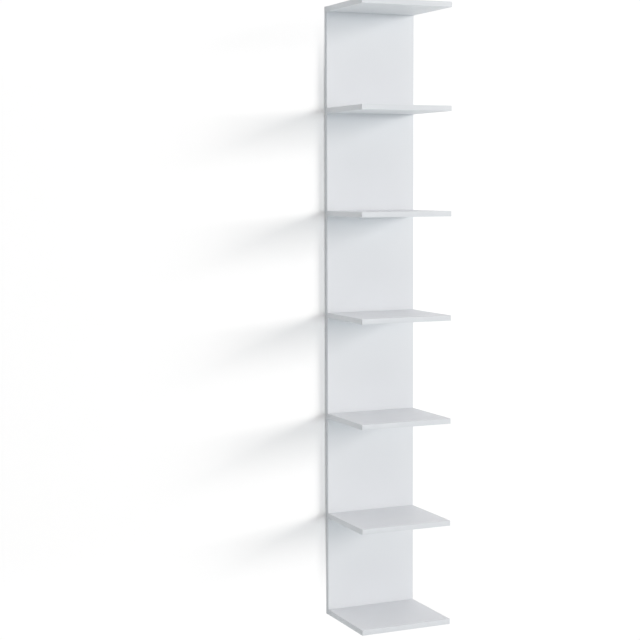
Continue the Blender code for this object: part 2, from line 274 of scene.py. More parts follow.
# The height that the wall's painted glow is counted from, and where it starts and is full from
# there.
WALL_GLOW_MIDDLE = 0.02
WALL_GLOW = (0.64, 0.945)
WALL_GLOW_STRENGTH = 1.02


def new_material(name):
    """A material with an empty tree."""
    material = bpy.data.materials.new(name)
    material.use_nodes = True
    tree = material.node_tree
    tree.nodes.clear()
    print("material:", name)
    return material, tree


def object_place(tree):
    return add(tree, "ShaderNodeTexCoord", output="Object")


def smooth_rise(tree, value, start, end):
    """Nothing up to the start, one from the end on, and a smooth rise between them."""
    inputs = {"Value": value, "From Min": start, "From Max": end}
    return add(tree, "ShaderNodeMapRange", inputs, "Result", interpolation_type="SMOOTHSTEP")


def one_sided_paint(name, colour, fade, glow=None):
    """Matt paint that is clear from behind, and fades out at a distance from the shelf's middle.
    Glow gives the heights, from the middle, between which a painted glow, seen only by the camera,
    takes over from the lamps' light."""
    material, tree = new_material(name)
    behind = add(tree, "ShaderNodeNewGeometry", output="Backfacing")
    distance = add(
        tree, "ShaderNodeVectorMath", {0: object_place(tree)}, "Value", operation="LENGTH"
    )
    clear = maths(tree, "MAXIMUM", behind, smooth_rise(tree, distance, *fade))
    paint = add(tree, "ShaderNodeBsdfDiffuse", {"Color": colour})
    if glow:
        # Painted light: an emission that only the camera sees, which washes out the wall's shadows
        # near its top and foot.
        material.cycles.emission_sampling = "NONE"
        height = part_of(tree, object_place(tree), "Z")
        from_middle = maths(tree, "ABSOLUTE", maths(tree, "SUBTRACT", height, WALL_GLOW_MIDDLE))
        own_light = {"Color": colour, "Strength": WALL_GLOW_STRENGTH}
        shine = add(tree, "ShaderNodeEmission", own_light)
        takes_over = times(tree, smooth_rise(tree, from_middle, *glow), camera_ray(tree))
        paint = mix_shaders(tree, takes_over, paint, shine)
    nothing = add(tree, "ShaderNodeBsdfTransparent")
    surface = mix_shaders(tree, clear, paint, nothing)
    add(tree, "ShaderNodeOutputMaterial", {"Surface": surface})
    return material


wall_paint = one_sided_paint("wall_paint", WALL_COLOUR, WALL_FADE, WALL_GLOW)
floor_paint = one_sided_paint("floor_paint", FLOOR_COLOUR, FLOOR_FADE)

# %% A wall with an opening behind the panel, and a floor
WALL_HALF_WIDTH = 2.3
WALL_TOP = 2.3
WALL_GAP = 0.0004
WALL_TUCK = 0.001
FLOOR_BELOW_FOOT = 0.30
FLOOR_HALF_SIZE = 6.0


def rectangle(left, right, low, high):
    """Four corners as (across, up), anticlockwise."""
    return [(left, low), (right, low), (right, high), (left, high)]


# Faces that join the edges of one rectangle, corners 0 to 3, to those of another, corners 4 to 7.
RING_OF_FACES = [(side, (side + 1) % 4, 4 + (side + 1) % 4, 4 + side) for side in range(4)]


def add_stage(name, points, faces, material):
    """A sheet that is part of the room and not of the shelf."""
    mesh = bpy.data.meshes.new(name)
    mesh.from_pydata(points, [], faces)
    mesh.materials.append(material)
    sheet = new_object(name, mesh)
    return sheet


floor_height = cad_low.z - FLOOR_BELOW_FOOT
wall_outline = rectangle(-WALL_HALF_WIDTH, WALL_HALF_WIDTH, floor_height, WALL_TOP)
opening = rectangle(
    cad_low.x + WALL_TUCK, cad_high.x - WALL_TUCK, cad_low.z + WALL_TUCK, cad_high.z - WALL_TUCK
)
wall_points = [(across, WALL_GAP, up) for across, up in wall_outline + opening]
add_stage("room_wall", wall_points, RING_OF_FACES, wall_paint)

floor_outline = rectangle(-FLOOR_HALF_SIZE, FLOOR_HALF_SIZE, -FLOOR_HALF_SIZE, FLOOR_HALF_SIZE)
floor_points = [(x, y, floor_height) for x, y in floor_outline]
floor = add_stage("room_floor", floor_points, [(0, 1, 2, 3)], floor_paint)
floor.visible_diffuse = floor.visible_glossy = floor.visible_shadow = False
print("floor at", round(floor_height, 3), "m, wall up to", WALL_TOP, "m")

# %% [markdown]
# ## Camera
#
# The photograph was taken from the front left, from about the height of the third shelf, with a
# long lens and upright verticals. A large lens shift would copy those to the pixel, but every
# other view of the scene keeps the shift and would cut the shelf off, so the camera is tipped down
# a little instead and its shift stays small.

# %% The photograph's point of view
CAMERA_PLACE = Vector((-2.0868, -4.3295, 0.4135))
CAMERA_TURNED_RIGHT = math.radians(23.90)
CAMERA_TIPPED_DOWN = math.radians(4.69)
CAMERA_ROLLED = math.radians(-0.20)
LENS_LENGTH = 85.79
LENS_SHIFT = -0.02

camera_data = bpy.data.cameras.new("photograph")
camera_data.lens = LENS_LENGTH
camera_data.shift_y = LENS_SHIFT
camera = new_object("photograph", camera_data)
turned = Matrix.Rotation(-CAMERA_TURNED_RIGHT, 4, "Z")
tipped = Matrix.Rotation(math.pi / 2 - CAMERA_TIPPED_DOWN, 4, "X")
rolled = Matrix.Rotation(CAMERA_ROLLED, 4, "Z")
camera.matrix_world = Matrix.Translation(CAMERA_PLACE) @ turned @ tipped @ rolled
scene.camera = camera
print("camera", round(CAMERA_PLACE.length, 2), "m from the shelf's middle")

# %% [markdown]
# ## White melamine
#
# A melamine-faced board has a hard paper skin, pressed with a fine pearl grain that takes the
# gloss down and breaks up reflections. Up close the tone drifts a little, and handling leaves
# faintly smoother patches. Three layers of noise give the drift, the patches and the grain. They
# read Object coordinates, which here are metres in the shelf's own frame, so the grain has its
# true size on every board.
#
# Each finish is given by its tones, as colours at places on a ramp, by its roughness, from its
# least to its most, and by its relief, as the strength and the depth in metres of a bump.

# %% Melamine skin
def noise(tree, size, detail=2.0, stretch=None):
    """A noise value whose marks have this size in metres, and are longer along an axis where
    stretch is below one."""
    place = object_place(tree)
    if stretch:
        place = add(tree, "ShaderNodeMapping", {"Vector": place, "Scale": stretch})
    inputs = {"Vector": place, "Scale": 1 / size, "Detail": detail}
    return add(tree, "ShaderNodeTexNoise", inputs, "Fac")


def between(tree, value, low, high, start=0.3, end=0.7):
    """The value, moved from the range start to end into the range low to high."""
    inputs = {"Value": value, "From Min": start, "From Max": end, "To Min": low, "To Max": high}
    return add(tree, "ShaderNodeMapRange", inputs, "Result")


def colours(tree, value, stops):
    """A ramp through (place, colour) stops."""
    colour = add(tree, "ShaderNodeValToRGB", {"Fac": value}, "Color")
    elements = colour.node.color_ramp.elements
    while len(elements) < len(stops):
        elements.new(0.5)
    for element, (place, stop_colour) in zip(elements, stops):
        element.position = place
        element.color = (*stop_colour, 1.0)
    return colour


def make_finish(name, marks, tones, roughness, relief, **fixed):
    """A finish from three values that marks makes in its tree: for tone, gloss and relief."""
    material, tree = new_material(name)
    tone, gloss, height = marks(tree)
    strength, depth = relief
    bumps = {"Height": height, "Strength": strength, "Distance": depth}
    inputs = {
        "Base Color": colours(tree, tone, tones),
        "Roughness": between(tree, gloss, *roughness),
        "Normal": add(tree, "ShaderNodeBump", bumps, "Normal"),
        **fixed,
    }
    shader = add(tree, "ShaderNodeBsdfPrincipled", inputs)
    add(tree, "ShaderNodeOutputMaterial", {"Surface": shader})
    return material


def melamine_marks(tree):
    drift = noise(tree, size=0.35)
    patches = noise(tree, size=0.06, detail=3.0)
    pearl_grain = noise(tree, size=0.0012)
    return drift, patches, pearl_grain


melamine = make_finish(
    "white_melamine",
    melamine_marks,
    tones=((0.3, (0.721, 0.742, 0.767)), (0.7, (0.741, 0.760, 0.783))),
    roughness=(0.44, 0.54),
    relief=(0.25, 0.00006),
)

# %% [markdown]
# ## Chipboard core
#
# Wherever the skin is drilled or cut, the core shows: pressed wood chips a millimetre or two
# long, mostly tan, some pale and some dark with bark, lying flat in the board. Cells from a
# Voronoi texture stand for the chips. Each cell has its own random value between nothing and one,
# which the ramp turns into the colour of the chip, and the roughness follows it over that range.

# %% Chipboard core
CHIP_SIZE = 0.0016


def chipboard_marks(tree):
    cells = {"Vector": object_place(tree), "Scale": 1 / CHIP_SIZE}
    chips = add(tree, "ShaderNodeTexVoronoi", cells, "Color")
    random_chip = add(tree, "ShaderNodeSeparateColor", {0: chips})
    return random_chip, random_chip, chips.node.outputs["Distance"]


chipboard = make_finish(
    "chipboard_core",
    chipboard_marks,
    tones=((0.0, (0.24, 0.15, 0.08)), (0.25, (0.47, 0.33, 0.19)), (1.0, (0.62, 0.48, 0.31))),
    roughness=(0.75, 0.95, 0.0, 1.0),
    relief=(0.6, 0.0004),
)

# %% [markdown]
# ## Plastic edging
#
# The raw edges are covered with one-millimetre plastic strip, a shade darker and a little
# glossier than the board. It is scraped flush after gluing, which leaves fine lines along its
# length. Noise that is drawn out along the shelf gives those lines. On the shelves the strip
# runs across and back, and on the panel it runs up, so each way gets its own material.

# %% Edging
def make_edging(name, stretch):
    def marks(tree):
        patches = noise(tree, size=0.06)
        scrape_lines = noise(tree, size=0.0008, stretch=stretch)
        return patches, scrape_lines, scrape_lines

    return make_finish(
        name,
        marks,
        tones=((0.3, (0.664, 0.688, 0.713)), (0.7, (0.686, 0.708, 0.732))),
        roughness=(0.34, 0.44),
        relief=(0.15, 0.00005),
    )


shelf_edging_finish = make_edging("shelf_edging_plastic", stretch=(0.02, 0.02, 1.0))
panel_edging_finish = make_edging("panel_edging_plastic", stretch=(1.0, 1.0, 0.02))

# %% [markdown]
# ## Zinc and beech
#
# Screws and hanger plates are steel with a bright zinc plating: metallic, slightly blue, with
# cloudy patches from the bath and fine scratches from the drum that they tumble in. Dowels are
# beech, a pale pinkish brown with a straight grain along the dowel and short dark flecks.

# %% Zinc-plated steel
def zinc_marks(tree):
    clouds = noise(tree, size=0.006, detail=4.0)
    scratches = noise(tree, size=0.0012, detail=3.0, stretch=(1.0, 1.0, 0.12))
    return clouds, scratches, scratches


zinc = make_finish(
    "zinc_plated_steel",
    zinc_marks,
    tones=((0.35, (0.52, 0.54, 0.57)), (0.65, (0.70, 0.71, 0.72))),
    roughness=(0.28, 0.46),
    relief=(0.12, 0.00004),
    Metallic=1.0,
)

# %% Beech
def beech_marks(tree):
    """The dowels lie along Y, and so does their grain."""
    grain = noise(tree, size=0.0009, detail=4.0, stretch=(1.0, 0.06, 1.0))
    flecks = noise(tree, size=0.0009, detail=1.0, stretch=(2.2, 0.35, 2.2))
    darker = between(tree, flecks, low=0.0, high=0.25, start=0.62, end=0.8)
    return maths(tree, "SUBTRACT", grain, darker), grain, grain


beech = make_finish(
    "beech_wood",
    beech_marks,
    tones=((0.25, (0.50, 0.31, 0.17)), (0.6, (0.68, 0.48, 0.30))),
    roughness=(0.55, 0.72),
    relief=(0.3, 0.0001),
)

# %% [markdown]
# ## Geometry trees
#
# What repeats, or follows a path or a rule, is made by Geometry Nodes. A tree has named inputs
# for its sizes. To use it, an empty object gets the tree as a modifier, the inputs are set by
# each socket's identifier, and the evaluated result is copied into a plain mesh. Only that mesh
# stays in the scene, so the piece is kept exactly as it is seen here.

# %% Making and running a geometry tree
def new_tree(name, **inputs):
    """An empty geometry tree. The names of its inputs are given by the kind of their sockets."""
    tree = bpy.data.node_groups.new(name, "GeometryNodeTree")
    add_socket = tree.interface.new_socket
    for kind, labels in {"Geometry": ["Geometry"], "Material": ["Finish"], **inputs}.items():
        for label in labels:
            add_socket(label, in_out="INPUT", socket_type=f"NodeSocket{kind}")
    add_socket("Geometry", in_out="OUTPUT", socket_type="NodeSocketGeometry")
    return tree, tree.nodes.new("NodeGroupInput").outputs


def end_tree(tree, geometry, finish, *more_finishes):
    """Realizes instances and sets the finish. Each further one comes with the faces it is on."""
    geometry = add(tree, "GeometryNodeRealizeInstances", {0: geometry})
    geometry = add(tree, "GeometryNodeSetMaterial", {"Geometry": geometry, "Material": finish})
    for other_finish, faces in more_finishes:
        inputs = {"Geometry": geometry, "Material": other_finish, "Selection": faces}
        geometry = add(tree, "GeometryNodeSetMaterial", inputs)
    add(tree, "NodeGroupOutput", {0: geometry})


def throw_away(*helpers):
    """Takes objects that have done their work out of the scene."""
    for helper in helpers:
        bpy.data.objects.remove(helper, do_unlink=True)


def grow(name, tree, start_mesh=None, **values):
    """The plain mesh object that a tree makes from a start mesh and the values of its inputs."""
    holder = new_object(name, start_mesh or bpy.data.meshes.new(name))
    modifier = holder.modifiers.new("tree", "NODES")
    modifier.node_group = tree
    identifiers = {
        item.name: item.identifier
        for item in tree.interface.items_tree
        if item.item_type == "SOCKET" and item.in_out == "INPUT"
    }
    for label, value in values.items():
        modifier[identifiers[label.replace("_", " ")]] = value
    graph = bpy.context.evaluated_depsgraph_get()
    mesh = bpy.data.meshes.new_from_object(holder.evaluated_get(graph))
    throw_away(holder)
    for number in reversed(range(len(mesh.materials))):
        if mesh.materials[number] is None:
            mesh.materials.pop(index=number)
    mesh.name = name
    print(f"{name}: {len(mesh.polygons)} faces, {len(mesh.materials)} material(s)")
    return new_object(name, mesh)


# %% [markdown]
# A few steps come back in several trees, such as a section swept along a path, corners turned into
# arcs, and one shape cut out of another. Each finished piece goes through one helper that says
# what it rides on and which CAD nodes it stands for.

# %% Steps that trees share
def sweep(tree, path, section, **more):
    """A solid with closed ends, from a section that is carried along a path."""
    inputs = {"Curve": path, "Profile Curve": section, "Fill Caps": True, **more}
    return add(tree, "GeometryNodeCurveToMesh", inputs)


def round_corners(tree, curve, steps, radius):
    inputs = {"Curve": curve, "Count": steps, "Radius": radius}
    return add(tree, "GeometryNodeFilletCurve", inputs, mode="POLY")


def boolean(tree, operation, inputs):
    kind = "GeometryNodeMeshBoolean"
    return add(tree, kind, inputs, "Mesh", operation=operation, solver="EXACT")


def cut(tree, body, tool):
    """The body without the tool's shape."""
    return boolean(tree, "DIFFERENCE", {"Mesh 1": body, "Mesh 2": tool})


def shape_of(tree, helper):
    return add(tree, "GeometryNodeObjectInfo", {"Object": helper}, "Geometry")


# %% Helpers for start meshes and finished pieces
def point_mesh(name, points, joined=False):
    """A start mesh for a tree: points, joined by a line or left loose."""
    mesh = bpy.data.meshes.new(name)
    steps = range(len(points) - 1) if joined else ()
    mesh.from_pydata(points, [(number, number + 1) for number in steps], [])
    return mesh


def smooth(piece, angle=35):
    """Rounds the shading, and keeps edges that turn by more than this angle crisp."""
    piece.data.shade_smooth()
    piece.data.set_sharp_from_angle(angle=math.radians(angle))
    return piece


def settle(piece, slot, *nodes):
    """Puts a finished piece on the shelf's one body, in place of these CAD nodes."""
    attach(piece, "root")
    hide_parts(*nodes)


# %% [markdown]
# ## Where everything sits
#
# The frame knows where each fastener and board lies. A screw or dowel is found by its rear end,
# because its hole starts there. A board is found by its box. The scene's boards reach out to
# their neighbours, where the CAD boards leave a third of a millimetre, because glued and screwed
# joints are tight on the real shelf. What stays visible there is a fine line, from edges that are
# eased by a tenth of a millimetre.

# %% Places from the frame
EASED = 0.0001
JOINT_PLAY = 0.00004
EDGING_THICKNESS = 0.0010


def fasteners(carriers, kind, ends):
    """The names of the fasteners that each carrier has, one at each of its ends."""
    return [f"{carrier}_{kind}_{end}" for carrier in carriers for end in ends]


def rear_ends(nodes):
    """The middle of the rear end of each screw, dowel or plate."""
    boxes = [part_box(node) for node in nodes]
    return [
        Vector(((low.x + high.x) / 2, high.y, (low.z + high.z) / 2)) for low, high in boxes
    ]


connector_screw_names = fasteners(SHELF_NAMES, "screw", ("left", "right"))
dowel_names = fasteners(SHELF_NAMES, "dowel", ("left", "right"))
plate_screw_names = fasteners(HANGER_NAMES, "screw", ("upper", "lower"))
panel_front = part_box("back_panel")[0].y
shelf_low, shelf_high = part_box(SHELF_NAMES[0])
shelf_thickness = shelf_high.z - shelf_low.z
half_width, half_height, shelf_front = cad_high.x, cad_high.z, cad_low.y
print("connector screws:", len(connector_screw_names), "dowels:", len(dowel_names))
print("plates:", len(HANGER_NAMES), "plate screws:", len(plate_screw_names))
print("boards are", round(MILLIMETRES * shelf_thickness, 2), "mm thick")

# %% [markdown]
# ## Turning
#
# Screws, dowels and the holes for them are all turned shapes. A spin would leave poles on the axis
# that need welding. Here a circle is swept along the axis instead, and its scale follows the
# profile: each profile point gives a radius and a place on the axis. The sweep closes its own
# ends. The same tree can draw grooves into the circle, which turns a plain peg into a fluted dowel.

# %% A tree that turns a profile about an axis along Y
def make_turning_tree():
    """The start line's points are (radius, place along Y). The circle is drawn in at each flute."""
    tree, given = new_tree("turning", Int=["Sides"], Float=["Flutes", "Flute Share"])
    profile = add(tree, "GeometryNodeMeshToCurve", {0: given["Geometry"]})
    point = add(tree, "GeometryNodeInputPosition")
    radii = {"Curve": profile, "Radius": part_of(tree, point, "X")}
    sized = add(tree, "GeometryNodeSetCurveRadius", radii)
    on_axis = combine(tree, Y=part_of(tree, point, "Y"))
    axis = add(tree, "GeometryNodeSetPosition", {0: sized, "Position": on_axis})

    unit_circle = {"Resolution": given["Sides"], "Radius": 1.0}
    circle = add(tree, "GeometryNodeCurvePrimitiveCircle", unit_circle)
    way_round = add(tree, "GeometryNodeSplineParameter", output="Factor")
    turns = times(tree, times(tree, way_round, math.tau), given["Flutes"])
    groove = maths(tree, "MAXIMUM", maths(tree, "SINE", turns), 0.0)
    share = maths(tree, "SUBTRACT", 1.0, times(tree, groove, given["Flute Share"]))
    drawing_in = {0: add(tree, "GeometryNodeInputPosition"), "Scale": share}
    drawn_in = add(tree, "ShaderNodeVectorMath", drawing_in, operation="SCALE")
    fluted = add(tree, "GeometryNodeSetPosition", {0: circle, "Position": drawn_in})

    turned_shape = sweep(tree, axis, fluted, Scale=add(tree, "GeometryNodeInputRadius"))
    end_tree(tree, turned_shape, given["Finish"])
    return tree


turning_tree = make_turning_tree()


def turn(name, profile, finish, sides=48, **flutes):
    """Profile points are (radius, depth) in metres, and depth counts forward from the rear."""
    line = point_mesh(name, [(radius, -depth, 0) for radius, depth in profile], joined=True)
    return grow(name, turning_tree, line, Sides=sides, Finish=finish, **flutes)


# %% [markdown]
# ## Repeating
#
# Fourteen connector screws are one screw fourteen times. A tree sets an instance of a shape on
# each point of its start mesh, and the instances are made real, because an export drops them.

# %% A tree that repeats a shape
def make_repeat_tree():
    tree, given = new_tree("repeat", Object=["Shape"])
    whole_object = {"Object": given["Shape"], "As Instance": True}
    shape = add(tree, "GeometryNodeObjectInfo", whole_object, "Geometry")
    on_points = {"Points": given["Geometry"], "Instance": shape}
    end_tree(tree, add(tree, "GeometryNodeInstanceOnPoints", on_points), given["Finish"])
    return tree


repeat_tree = make_repeat_tree()


def repeat(name, shape, places, finish):
    """The shape at each place. The single shape is thrown away."""
    piece = grow(name, repeat_tree, point_mesh(name, places), Shape=shape, Finish=finish)
    throw_away(shape)
    return piece


def set_out(name, shape, nodes, finish, slot):
    """A finished piece: the shape at the rear end of each of these nodes."""
    settle(smooth(repeat(name, shape, rear_ends(nodes), finish)), slot, *nodes)


# %% [markdown]
# ## Holes
#
# The boards are drilled and milled as in the factory, so each hole is a solid that is taken out of
# the board: a countersunk hole from the rear for each connector screw, a blind hole for each
# dowel, and for each hanger plate a flat seat, a deeper pocket behind its keyhole, and two small
# pilot holes. Their walls are given the chipboard core.
#
# A profile that came to a point on the axis would pinch the sweep, so a drill's point stays a
# little way off it.

# %% Drills for the connector screws and dowels
OFF_AXIS = 0.0002
OVERRUN = 0.001
HOLE_PLAY = 0.0003
DRILL_POINT = 0.0010
DRILL_STEP = 0.0002
SCREW_LENGTH = 0.050
SCREW_HEAD = 0.0050
SCREW_RIM = 0.0008
SCREW_NECK = 0.0033
SCREW_THREAD = 0.0035
SCREW_CORE = 0.0024
SCREW_HOLE_SPARE = 0.001
DOWEL_RADIUS = 0.0040
DOWEL_LENGTH = 0.030
DOWEL_HOLE_SPARE = 0.0005


def countersink(head, rim, neck):
    """The end of a head's rim and the start of its neck, with a right-angled cone between them."""
    return [(head, rim), (neck, rim + head - neck)]


def drill(name, profile, nodes, sides=48):
    """The holes for these fasteners, as a solid to take out of a board."""
    hole = turn(name, profile, chipboard, sides)
    return repeat(f"{name}s", hole, rear_ends(nodes), chipboard)


screw_hole_end = SCREW_LENGTH + SCREW_HOLE_SPARE
head, neck, core = (radius + HOLE_PLAY for radius in (SCREW_HEAD, SCREW_NECK, SCREW_CORE))
screw_drill_profile = [
    (head, -OVERRUN),
    *countersink(head, SCREW_RIM, neck),
    (neck, -panel_front),
    (core, -panel_front + DRILL_STEP),
    (core, screw_hole_end),
    (OFF_AXIS, screw_hole_end + DRILL_POINT),
]
dowel_drill_profile = [
    (OFF_AXIS, -DOWEL_HOLE_SPARE - DRILL_STEP),
    (DOWEL_RADIUS, -DOWEL_HOLE_SPARE),
    (DOWEL_RADIUS, DOWEL_LENGTH + DOWEL_HOLE_SPARE),
    (OFF_AXIS, DOWEL_LENGTH + DOWEL_HOLE_SPARE + DRILL_POINT),
]
screw_drills = drill("screw_drill", screw_drill_profile, connector_screw_names)
dowel_drills = drill("dowel_drill", dowel_drill_profile, dowel_names)

# %% [markdown]
# A hanger plate's seat, its pocket and its keyhole are all upright slots with round ends. A
# rectangle whose corners are rounded by half its width is such a slot, and sweeping it along Y
# gives the solid to take out, or the blank of the plate itself.

# %% Slots with round ends
PLATE_LENGTH = 0.060
PLATE_WIDTH = 0.018
PLATE_THICKNESS = 0.0020
SEAT_DEPTH = 0.0026
SEAT_PLAY = 0.0004
POCKET_WIDTH = 0.0120
POCKET_DEPTH = 0.0090
KEYHOLE_ENTRY = 0.0050
KEYHOLE_SLOT = 0.0050
KEYHOLE_RISE = 0.0130
ROUND_END_STEPS = 16
NEARLY_HALF = 0.4999


def upright_slot(tree, width, length, start, end):
    """A solid slot whose middle runs along Y from start to end."""
    sizes = {"Width": width, "Height": length}
    outline = add(tree, "GeometryNodeCurvePrimitiveQuadrilateral", sizes)
    radius = times(tree, width, NEARLY_HALF)
    rounded = round_corners(tree, outline, ROUND_END_STEPS, radius)
    across = add(tree, "GeometryNodeCurvePrimitiveLine", {"Start": start, "End": end})
    upright = add(tree, "GeometryNodeSetCurveNormal", {0: across}, mode="Z_UP")
    return sweep(tree, upright, rounded)


def make_slot_tree():
    tree, given = new_tree("slot_drill", Float=["Width", "Length", "Depth"])
    bottom = combine(tree, Y=times(tree, given["Depth"], -1.0))
    slot = upright_slot(tree, given["Width"], given["Length"], (0, OVERRUN, 0), bottom)
    end_tree(tree, slot, given["Finish"])
    return tree


slot_tree = make_slot_tree()
plate_places = [Vector((place.x, 0, place.z)) for place in rear_ends(HANGER_NAMES)]


def slot_drills(name, width, length, depth):
    slot = grow("slot", slot_tree, Width=width, Length=length, Depth=depth, Finish=chipboard)
    return repeat(name, slot, plate_places, chipboard)


seat_drills = slot_drills(
    "seat_drills", PLATE_WIDTH + SEAT_PLAY, PLATE_LENGTH + SEAT_PLAY, SEAT_DEPTH
)
pocket_drills = slot_drills(
    "pocket_drills", POCKET_WIDTH, KEYHOLE_RISE + POCKET_WIDTH, POCKET_DEPTH
)

# %% Pilot holes for the plate screws
PLATE_SCREW_LENGTH = 0.012
PLATE_SCREW_HEAD = 0.0034
PLATE_SCREW_RIM = 0.0003
PLATE_SCREW_THREAD = 0.00175
PLATE_SCREW_CORE = 0.00115
PILOT_HEAD = PLATE_SCREW_HEAD + 0.0002
PILOT_NARROWS = PLATE_THICKNESS + 0.0008
PILOT_END = PLATE_SCREW_LENGTH - 0.001
PILOT_POINT = PLATE_SCREW_LENGTH + 0.0005

pilot_drill_profile = [
    (PILOT_HEAD, -OVERRUN),
    *countersink(PILOT_HEAD, PLATE_SCREW_RIM, PLATE_SCREW_THREAD),
    (PLATE_SCREW_CORE, PILOT_NARROWS),
    (PLATE_SCREW_CORE, PILOT_END),
    (OFF_AXIS, PILOT_POINT),
]
pilot_drills = drill("pilot_drill", pilot_drill_profile, plate_screw_names, sides=32)

# %% [markdown]
# ## Boards
#
# A board starts as a block with eased edges. A Geometry Nodes tree takes the drills out of it one
# group after another, and then paints it by a rule: whatever lies deeper than the skin is
# chipboard, and the two faces are melamine. The back panel and the shelves get the same kind of
# tree, with the skin's direction as an input.

# %% A tree that drills a board
SKIN = 0.00015


def make_board_tree(drill_count):
    drills = [f"Drill {number}" for number in range(drill_count)]
    tree, given = new_tree(
        f"drilled_board_{drill_count}",
        Material=["Skin", "Core"],
        Object=drills,
        Vector=["Through", "Middle"],
        Float=["Half Thickness"],
    )
    board = given["Geometry"]
    for label in drills:
        board = cut(tree, board, shape_of(tree, given[label]))
    from_middle = {0: add(tree, "GeometryNodeInputPosition"), 1: given["Middle"]}
    apart = add(tree, "ShaderNodeVectorMath", from_middle, operation="SUBTRACT")
    through = {0: apart, 1: given["Through"]}
    depth = add(tree, "ShaderNodeVectorMath", through, "Value", operation="DOT_PRODUCT")
    skin_begins = maths(tree, "SUBTRACT", given["Half Thickness"], SKIN)
    inside = maths(tree, "LESS_THAN", maths(tree, "ABSOLUTE", depth), skin_begins)
    end_tree(tree, board, given["Skin"], (given["Core"], inside))
    return tree


def eased_block(name, low, high):
    """A closed block whose twelve edges are eased."""
    mesh = bpy.data.meshes.new(name)
    shape = bmesh.new()
    bmesh.ops.create_cube(shape, size=1.0)
    bmesh.ops.scale(shape, vec=high - low, verts=shape.verts)
    bmesh.ops.translate(shape, vec=(high + low) / 2, verts=shape.verts)
    bmesh.ops.bevel(
        shape, geom=shape.edges[:], offset=EASED, segments=1, affect="EDGES", profile=0.5
    )
    shape.to_mesh(mesh)
    shape.free()
    return mesh


def make_board(node, low, high, through, tree, drills):
    """The board from corner to corner, with the drills taken out. Through is its thin direction."""
    low, high, through = Vector(low), Vector(high), Vector(through)
    board = grow(
        f"melamine_{node}",
        tree,
        eased_block(node, low, high),
        **{f"Drill_{number}": tool for number, tool in enumerate(drills)},
        Through=through,
        Middle=(low + high) / 2,
        Half_Thickness=(high - low).dot(through) / 2,
        Skin=melamine,
        Core=chipboard,
    )
    settle(board, "board", node)


# %% The back panel
all_drills = [screw_drills, dowel_drills, seat_drills, pocket_drills, pilot_drills]
panel_tree = make_board_tree(len(all_drills))
panel_corners = [
    (-half_width + EDGING_THICKNESS, panel_front, -half_height + EDGING_THICKNESS),
    (half_width - EDGING_THICKNESS, 0, half_height - EDGING_THICKNESS),
]
make_board("back_panel", *panel_corners, (0, 1, 0), panel_tree, all_drills)

# %% The seven shelves
shelf_drills = [screw_drills, dowel_drills]
shelf_tree = make_board_tree(len(shelf_drills))
for shelf in SHELF_NAMES:
    low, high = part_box(shelf)
    shelf_corners = [
        (-half_width + EDGING_THICKNESS, shelf_front + EDGING_THICKNESS, low.z),
        (half_width - EDGING_THICKNESS, panel_front - JOINT_PLAY, high.z),
    ]
    make_board(shelf, *shelf_corners, (0, 0, 1), shelf_tree, shelf_drills)
throw_away(*all_drills)

# %% [markdown]
# ## Edging
#
# A strip of edging is one cross-section carried along a path: a thin rectangle, well rounded on
# its two outer edges by the scraper and barely eased on the two inner ones. A shelf's path runs
# up one end, along the front and back down the other end, with a tight bend at each corner. A
# strip on the panel follows a straight line.

# %% A tree that lays edging along a path
OUTER_ROUNDING = 0.0005
CORNER_BEND = 0.00055
ROUNDING_STEPS = 5


def make_edging_tree():
    tree, given = new_tree(
        "edging",
        Float=["Thickness", "Height", "Outer Rounding", "Inner Easing", "Corner Bend", "Tilt"],
    )
    sizes = {"Width": given["Thickness"], "Height": given["Height"]}
    section = add(tree, "GeometryNodeCurvePrimitiveQuadrilateral", sizes)
    corner_across = part_of(tree, add(tree, "GeometryNodeInputPosition"), "X")
    outer_side = maths(tree, "GREATER_THAN", corner_across, 0.0)
    spread = maths(tree, "SUBTRACT", given["Outer Rounding"], given["Inner Easing"])
    more_outside = times(tree, outer_side, spread)
    rounding = maths(tree, "ADD", more_outside, given["Inner Easing"])
    rounded = round_corners(tree, section, ROUNDING_STEPS, rounding)
    path = add(tree, "GeometryNodeMeshToCurve", {0: given["Geometry"]})
    bent = round_corners(tree, path, ROUNDING_STEPS, given["Corner Bend"])
    tilted = add(tree, "GeometryNodeSetCurveTilt", {"Curve": bent, "Tilt": given["Tilt"]})
    end_tree(tree, sweep(tree, tilted, rounded), given["Finish"])
    return tree


edging_tree = make_edging_tree()


def lay_edging(node, path, height, finish, tilt=0.0):
    """Edging whose middle follows the path, with its rounded side to the right of the path."""
    name = node.replace("edging", "edging_strip")
    strip = grow(
        name,
        edging_tree,
        point_mesh(name, path, joined=True),
        Thickness=EDGING_THICKNESS,
        Height=height,
        Outer_Rounding=OUTER_ROUNDING,
        Inner_Easing=EASED,
        Corner_Bend=CORNER_BEND,
        Tilt=math.radians(tilt),
        Finish=finish,
    )
    settle(smooth(strip, angle=50), "edging", node)


# %% Edging round the shelves
middle_of_strip = half_width - EDGING_THICKNESS / 2
front_of_strip = shelf_front + EDGING_THICKNESS / 2
rear_of_strip = panel_front - JOINT_PLAY
corners = rectangle(-middle_of_strip, middle_of_strip, front_of_strip, rear_of_strip)
corners_from_rear = (corners[3], *corners[:3])
for shelf in SHELF_NAMES:
    low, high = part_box(shelf)
    path = [(across, forward, (low.z + high.z) / 2) for across, forward in corners_from_rear]
    lay_edging(f"{shelf}_edging", path, shelf_thickness, shelf_edging_finish)

# %% Edging round the panel
end_height = half_height - EDGING_THICKNESS / 2
end_reach = half_width - EDGING_THICKNESS - JOINT_PLAY


def edge_panel(side, start, end, finish, tilt):
    """A straight strip on one edge of the panel. Start and end are (across, up)."""
    path = [(across, panel_front / 2, up) for across, up in (start, end)]
    lay_edging(f"panel_edging_{side}", path, -panel_front, finish, tilt)


